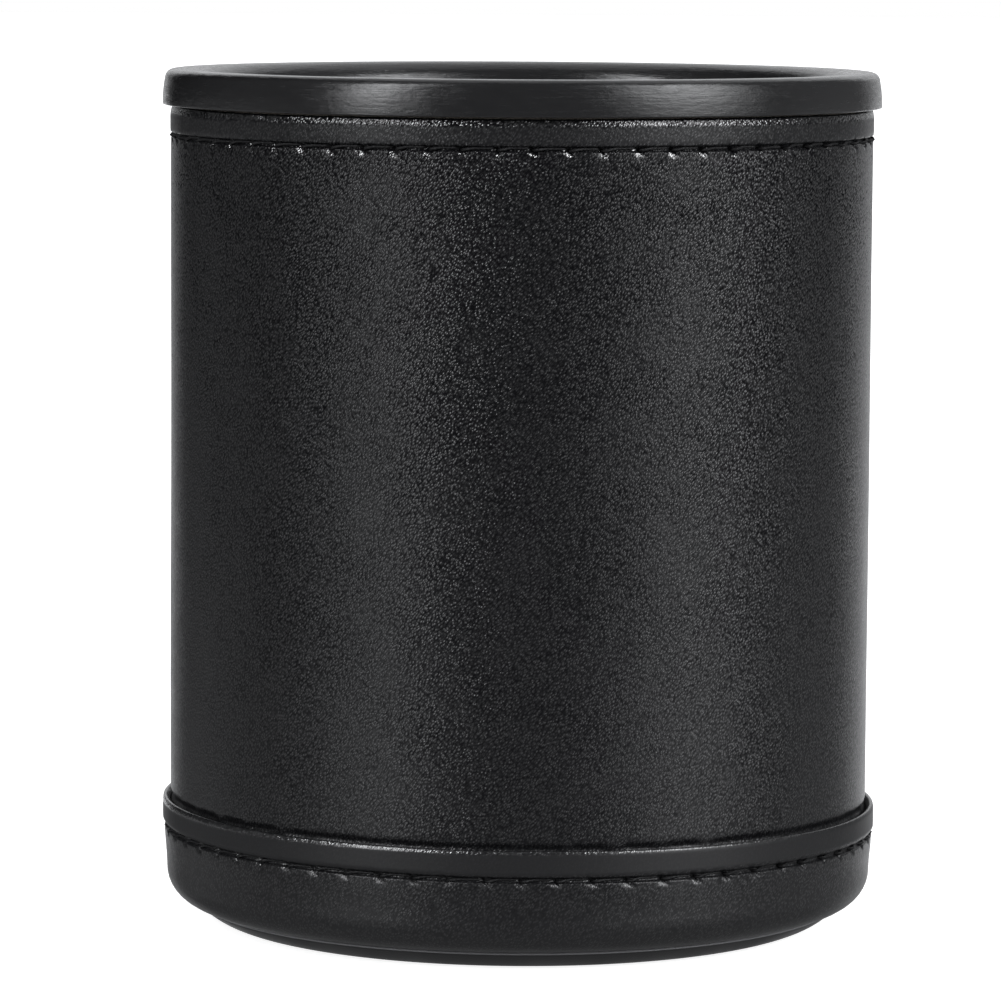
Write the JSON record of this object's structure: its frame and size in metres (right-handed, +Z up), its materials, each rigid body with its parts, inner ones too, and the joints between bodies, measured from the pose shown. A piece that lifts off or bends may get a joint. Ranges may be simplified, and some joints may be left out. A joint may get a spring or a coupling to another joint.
{
  "type": "leather dice cup",
  "caption": "Round black leather-covered dice cup with a moulded mouth ring, stitched hem and base band, felt lining and a flat moulded base cap.",
  "frame": {"origin": "centre of the flat underside of the base cap, on the surface the cup stands on", "axes": "+Z up along the cup's axis towards the mouth, +Y towards the back where the leather's ends meet"},
  "size_m": [0.0822, 0.0822, 0.0975],
  "materials": {
    "rim_plastic": "black moulded plastic with faint turning marks and a satin gloss",
    "cap_plastic": "black moulded plastic with a fine satin texture",
    "core_board": "raw grey board",
    "black_leather": "fine pebbled grain with a satin sheen",
    "black_thread": "waxed bonded sewing thread",
    "charcoal_felt": "short soft pile",
    "dark_foam": "closed-cell foam"
  },
  "bodies": {
    "root": {"rim_ring": "rim_plastic", "core_tube": "core_board", "base_board": "core_board", "wall_leather": "black_leather", "hem_needle_thread": "black_thread", "hem_bobbin_thread": "black_thread", "base_band": "black_leather", "band_needle_thread": "black_thread", "band_bobbin_thread": "black_thread", "base_cap": "cap_plastic", "lining_wall": "charcoal_felt", "lining_floor": "charcoal_felt", "floor_pad": "dark_foam"}
  },
  "joints": []
}
